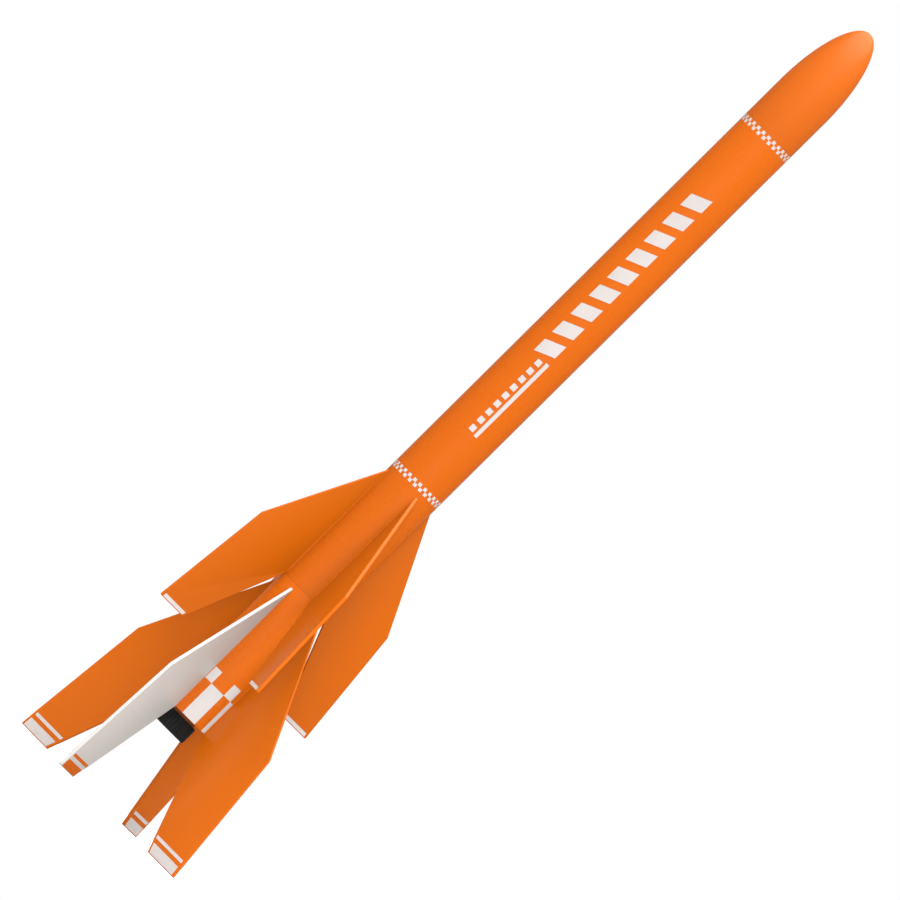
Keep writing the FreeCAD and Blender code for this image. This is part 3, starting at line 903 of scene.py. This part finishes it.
def bead(shell, angle, side, low, high):
    """A concave bead of glue and filler along one side of a fin's root."""
    half = FIN_THICKNESS / 2
    spin = Matrix.Rotation(math.radians(angle), 3, "Z")
    rings = []
    for station in range(FILLET_STATIONS + 1):
        z = low + (high - low) * station / FILLET_STATIONS
        to_end = min(z - low, high - z)
        size = FILLET_R * (0.12 + 0.88 * min(1.0, to_end / FILLET_TAPER))
        size *= 1 + 0.08 * noise.noise(Vector((angle, side * 7, z * 90)))
        centre_x = half + size
        centre_y = math.sqrt((TUBE_R + size) ** 2 - centre_x ** 2)
        toward_axis = math.atan2(-centre_y, -centre_x)
        ring = [Vector((half - FIN_BITE, centre_y))]
        for step in range(BEAD_STEPS + 1):
            turn = -math.pi + (toward_axis + math.pi) * step / BEAD_STEPS
            ring.append(Vector((centre_x + size * math.cos(turn), centre_y + size * math.sin(turn))))
        ring.append(ring[-1] * (1 - TUBE_BITE / TUBE_R))
        ring.append(Vector((half - FIN_BITE, TUBE_R - TUBE_BITE)))
        rings.append([spin @ Vector((side * p.x, -p.y, z)) for p in ring])
    shell.sweep(rings)


def make_fins():
    """Both sets of fins, their upward edges in a lighter paint than their faces as a painted highlight,
    and their glue beads.
    """
    sets = [
        ("booster", "booster_fin", "booster_stage", BOOSTER_FIN, 0),
        ("upper", "sustainer_fin", "sustainer_stage", UPPER_FIN, UPPER_FIN_ANGLE),
    ]
    for stage, node, body, outline, first_angle in sets:
        for index in range(FIN_COUNT):
            angle = first_angle + index * 360 / FIN_COUNT
            slot = "white_fin" if stage == "booster" and index == 0 else "orange_fin"
            panel = fin_shell(outline, angle)
            made = panel.piece(f"{stage}_fin_panel_{index + 1}", slot, body, [f"{node}_{index + 1}"])
            made.data.materials.append(MATERIALS[slot + "_edge"])
            across = on_tube(1.0, angle + 90, 0.0)
            # edges that don't look down get the lighter paint, a painted highlight; the shaded edges
            # that look down keep the faces' paint
            for polygon in made.data.polygons:
                on_edge = abs(polygon.normal.dot(across)) < EDGE_TILT
                if on_edge and polygon.normal.z > UNDERSIDE_TILT:
                    polygon.material_index = 1
            beads = Shell()
            low = outline[4][1] + FILLET_END_GAP
            high = outline[0][1] - FILLET_END_GAP
            for side in (-1, 1):
                bead(beads, angle, side, low, high)
            beads.piece(f"{stage}_fin_fillets_{index + 1}", "orange_tube", body, sharp=50)


# ---------------------------------------------------------------- launch lugs


def make_lugs():
    """Paper tubes for the launch rod, each with a bead of glue down both sides."""
    stages = [("booster", "booster_stage"), ("sustainer", "sustainer_stage")]
    for stage, body in stages:
        node = f"{stage}_launch_lug"
        low, high = low_z(node), high_z(node)
        centre = on_tube(LUG_AXIS_R, LUG_ANGLE, 0)
        lug = tube_shell(LUG_R, LUG_BORE_R, low, high, LUG_RIM, LUG_SEGMENTS, centre)
        lug.piece(f"{stage}_lug_tube", "lug_paper", body, [node])
        beads = Shell()
        for side in (-1, 1):
            lug_bead(beads, side, low + LUG_BEAD_END_GAP, high - LUG_BEAD_END_GAP)
        beads.piece(f"{stage}_lug_glue", "orange_tube", body, sharp=50)


def lug_bead(shell, side, low, high):
    """A concave bead of glue between a lug and the body tube."""
    spin = Matrix.Rotation(math.radians(LUG_ANGLE), 3, "Z")
    rings = []
    for station in range(LUG_BEAD_STATIONS + 1):
        z = low + (high - low) * station / LUG_BEAD_STATIONS
        to_end = min(z - low, high - z)
        size = LUG_BEAD_R * (0.3 + 0.7 * min(1.0, to_end / LUG_BEAD_TAPER))
        from_axis = TUBE_R + size
        from_lug = LUG_R + size
        cosine = (from_axis ** 2 + LUG_AXIS_R ** 2 - from_lug ** 2) / (2 * LUG_AXIS_R * from_axis)
        centre = Vector((from_axis * math.sqrt(1 - cosine ** 2), from_axis * cosine))
        start = math.atan2(-centre.y, -centre.x)
        end = math.atan2(LUG_AXIS_R - centre.y, -centre.x) - 2 * math.pi
        buried = TUBE_R - TUBE_BITE
        ring = [Vector((0, buried)), centre * (buried / from_axis)]
        for step in range(BEAD_STEPS + 1):
            turn = start + (end - start) * step / BEAD_STEPS
            ring.append(centre + Vector((math.cos(turn), math.sin(turn))) * size)
        ring.append(Vector((0, LUG_AXIS_R - LUG_R + LUG_BITE)))
        rings.append([spin @ Vector((side * p.x, -p.y, z)) for p in ring])
    shell.sweep(rings)


# ---------------------------------------------------------------- film decals


def wrap(shell, low, high, start, end, slant=0.0):
    """A patch of film round the tube, its end side standing `slant` nearer the nose."""
    base = TUBE_R + FILM_LIFT
    across = max(2, math.ceil((end - start) / 2))

    def point_at(s, t, depth):
        return on_tube(base + depth, start + (end - start) * s, low + (high - low) * t + slant * s)

    shell.slab(point_at, across, 2, FILM)


def check_band(shell, low, first_angle):
    """Two rows of white squares round the tube, every other one left out."""
    step = 360 / BAND_SQUARES
    for row in range(2):
        z = low + row * BAND_ROW
        for index in range(row, BAND_SQUARES, 2):
            start = first_angle + index * step
            wrap(shell, z, z + BAND_ROW, start, start + step)


def tail_checks(shell):
    """White checks round the booster's tail, repeated between each pair of fins."""
    rows = [(TAIL_SPLIT_Z, TAIL_TOP_Z), (BOOSTER_AFT_Z + TAIL_MARGIN, TAIL_SPLIT_Z)]
    for quadrant in range(FIN_COUNT):
        turn = quadrant * 360 / FIN_COUNT
        for column in range(len(TAIL_COLUMNS) - 1):
            low, high = rows[column % 2]
            wrap(shell, low, high, TAIL_COLUMNS[column] + turn, TAIL_COLUMNS[column + 1] + turn)


def side_motif(shell):
    """Slanted bars, a row of ticks and a straight line: plain shapes, no lettering."""
    for index in range(BAR_COUNT):
        low = BAR_FIRST_Z + index * BAR_STEP
        wrap(shell, low, low + BAR_LENGTH, *BAR_ANGLES, BAR_SLANT)
    for index in range(TICK_COUNT):
        low = TICK_FIRST_Z + index * TICK_STEP
        wrap(shell, low, low + TICK_LENGTH, *TICK_ANGLES)
    wrap(shell, *LINE_SPAN, *LINE_ANGLES)


def fin_stripes(shell, outline, stripes, angle):
    """Film across a fin's tip, on both faces."""
    corner, tip_outer, tip_inner, aft = outline[1:]
    spin = Matrix.Rotation(math.radians(angle), 3, "Z")
    base = FIN_THICKNESS / 2 + FILM_LIFT
    for low, high in stripes:
        section = []
        for z in (tip_outer[1] + low, tip_outer[1] + high):
            outer = edge_radius(corner, tip_outer, z) - STRIPE_OUTER_MARGIN
            inner = edge_radius(aft, tip_inner, z) + STRIPE_INNER_MARGIN
            section.append((outer, inner, z))
        for side in (-1, 1):
            def point_at(s, t, depth):
                outer = section[0][0] + (section[1][0] - section[0][0]) * t
                inner = section[0][1] + (section[1][1] - section[0][1]) * t
                z = section[0][2] + (section[1][2] - section[0][2]) * t
                return spin @ Vector((side * (base + depth), -(outer + (inner - outer) * s), z))

            shell.slab(point_at, 2, 2, FILM)


def make_film():
    booster = Shell()
    tail_checks(booster)
    for index in range(1, FIN_COUNT):
        fin_stripes(booster, BOOSTER_FIN, BOOSTER_STRIPES, index * 90)
    booster.piece("booster_film", "white_film", "booster_stage", ["booster_decals"])
    on_white = Shell()
    fin_stripes(on_white, BOOSTER_FIN, BOOSTER_STRIPES, 0)
    on_white.piece("white_fin_film", "orange_film", "booster_stage", ["white_fin_decals"])
    upper = Shell()
    check_band(upper, UPPER_BAND_Z, UPPER_BAND_ANGLE)
    check_band(upper, LOWER_BAND_Z, LOWER_BAND_ANGLE)
    side_motif(upper)
    for index in range(FIN_COUNT):
        fin_stripes(upper, UPPER_FIN, UPPER_STRIPES, UPPER_FIN_ANGLE + index * 90)
    upper.piece("upper_film", "white_film", "sustainer_stage", ["sustainer_decals"])


# ---------------------------------------------------------------- recovery gear

CHUTE_WIDTH = 457 * MM
OCTAGON_SHARE = 2 * (math.sqrt(2) - 1)
CHUTE_SHEET = 0.09 * MM
CHUTE_CORE_R = 2.0 * MM
CHUTE_PER_TURN = 32
CHUTE_ROWS = 18
CHUTE_END_ROOM = 3 * MM
CHUTE_SIDE_ROOM = 0.7 * MM
CHUTE_FRAY = 1.3 * MM
WADDING_SEED = 7
WAD_R = 9.6 * MM
WAD_FROM_AXIS = 8.3 * MM
WAD_FROM_MIDDLE = 5.2 * MM
ANCHOR_LAYER = 0.3 * MM


def make_parachute():
    """The canopy, folded flat into a strip and rolled up."""
    area = OCTAGON_SHARE * CHUTE_WIDTH ** 2
    height = CHUTE_HIGH.z - CHUTE_LOW.z - CHUTE_END_ROOM
    middle = (CHUTE_HIGH.z + CHUTE_LOW.z) / 2
    outer = CHUTE_HIGH.x - CHUTE_SIDE_ROOM
    long = area / height
    pitch = math.pi * (outer ** 2 - CHUTE_CORE_R ** 2) / long
    turns = (outer - CHUTE_CORE_R) / pitch

    def point_at(s, t, depth):
        turn = s * turns
        plain = CHUTE_CORE_R + pitch * turn
        angle = turn * 360
        side = on_tube(1.0, angle, 0)
        soft = plain / outer
        ripple = noise.noise(Vector((side.x * 2.1, side.y * 2.1, t * 5 + angle / 1500)))
        fold = noise.noise(Vector((side.x * 5, side.y * 5, t * 11 + 30 + angle / 1500)))
        radius = plain + depth + soft * (0.75 * ripple + 0.3 * fold) * MM
        flare = 1 - 0.10 * soft * (2 * abs(t - 0.5)) ** 6
        edge = CHUTE_FRAY * noise.noise(Vector((angle / 70, 3.0, 1.0))) * (2 * t - 1)
        return on_tube(radius * flare, angle, middle + (t - 0.5) * height + edge)

    shell = Shell()
    columns = round(turns * CHUTE_PER_TURN)
    shell.slab(point_at, columns, CHUTE_ROWS, CHUTE_SHEET)
    made = shell.piece("packed_parachute", "chute_film", "chute_pack", ["parachute"], 60)
    layout = made.data.uv_layers.new(name="flat")
    wide = columns + 1
    layer = wide * (CHUTE_ROWS + 1)
    for loop in made.data.loops:
        place = loop.vertex_index % layer
        s = (place % wide) / columns
        along = CHUTE_CORE_R * s + pitch * turns * s * s / 2
        layout.data[loop.index].uv = (along * turns * 2 * math.pi, place // wide / CHUTE_ROWS * height)


def make_wadding():
    """Squares of tissue crumpled into loose balls."""
    rng = random.Random(WADDING_SEED)
    middle = (WADDING_LOW.z + WADDING_HIGH.z) / 2
    places = [on_tube(WAD_FROM_AXIS, 20 + 120 * k, middle - WAD_FROM_MIDDLE) for k in range(3)]
    places += [on_tube(WAD_FROM_AXIS, 80 + 120 * k, middle + WAD_FROM_MIDDLE) for k in range(3)]
    shell = Shell()
    for centre in places:
        ball = bmesh.new()
        bmesh.ops.create_icosphere(ball, subdivisions=5, radius=1)
        seed = Vector([rng.uniform(-50, 50) for _ in range(3)])
        points = []
        for vertex in ball.verts:
            way = vertex.co.normalized()
            crease = noise.multi_fractal(way * 2.2 + seed, 0.7, 2.1, 5)
            ridge = abs(noise.noise(way * 4.5 + seed)) * 0.5
            radius = WAD_R * min(1.0, 0.72 + 0.2 * crease - 0.35 * ridge)
            points.append(centre + way * radius)
        shell.add(points, [[v.index for v in face.verts] for face in ball.faces])
        ball.free()
    made = shell.piece("crumpled_wadding", "tissue", "sustainer_stage", ["recovery_wadding"], 60)


def make_anchor():
    """Three folds of paper glued flat to the tube's wall, the cord's anchor."""
    wall = TUBE_R - TUBE_WALL - 0.05 * MM
    spread = math.degrees(math.asin(ANCHOR_HIGH.x / wall))
    shell = Shell()
    for index in range(3):
        base = wall - ANCHOR_LAYER * (index + 1) - 0.02 * MM * index
        margin = 0.7 * MM * index
        half = spread - index * 1.6
        low = ANCHOR_LOW.z + margin
        high = ANCHOR_HIGH.z - margin

        def point_at(s, t, depth):
            ragged = 0.25 * MM * noise.noise(Vector((s * 9, t * 9, index * 5.0)))
            angle = 180 - half + 2 * half * s
            return on_tube(base + depth, angle, low + (high - low) * t + ragged)

        shell.slab(point_at, 24, 12, ANCHOR_LAYER * 0.9)
    shell.piece("folded_anchor", "anchor_paper", "sustainer_stage", ["shock_cord_mount"])


# ---------------------------------------------------------------- carried-over CAD pieces

CARRIED = {
    "booster_motor_tube": "kraft_board",
    "booster_front_ring": "ring_board",
    "booster_rear_ring": "ring_board",
    "booster_thrust_ring": "ring_board",
    "retainer_base": "orange_plastic",
    "retainer_cap": "black_plastic",
    "booster_motor_casing": "motor_paper",
    "booster_motor_nozzle": "clay",
    "booster_propellant": "black_powder",
    "sustainer_motor_tube": "kraft_board",
    "sustainer_front_ring": "ring_board",
    "sustainer_rear_ring": "ring_board",
    "sustainer_thrust_ring": "ring_board",
    "sustainer_motor_casing": "motor_paper",
    "sustainer_motor_nozzle": "clay",
    "sustainer_propellant": "black_powder",
    "delay_grain": "black_powder",
    "ejection_charge": "black_powder",
    "motor_clay_cap": "clay",
    "engine_hook": "spring_steel",
    "nose_base_plug": "white_plastic",
}


def dress_carried():
    for node, slot in CARRIED.items():
        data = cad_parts[node].data
        data.materials.clear()
        data.materials.append(MATERIALS[slot])


# ---------------------------------------------------------------- scene


def make_floor():
    shell = Shell()
    profile = [(0, 0), (FLOOR_R, 0), (FLOOR_R, -FLOOR_DEPTH), (0, -FLOOR_DEPTH)]
    lathe(shell, profile, FLOOR_SEGMENTS, Vector((0, 0, -FLOOR_DROP)))
    mesh = bpy.data.meshes.new("floor")
    mesh.from_pydata([tuple(v) for v in shell.vertices], [], shell.faces)
    mesh.materials.append(floor_finish())
    floor = bpy.data.objects.new("floor", mesh)
    bpy.context.scene.collection.objects.link(floor)


make_camera()
make_studio()
make_floor()
dress_carried()
make_tubes()
make_nose()
make_fins()
make_lugs()
make_film()
make_parachute()
make_wadding()
make_anchor()
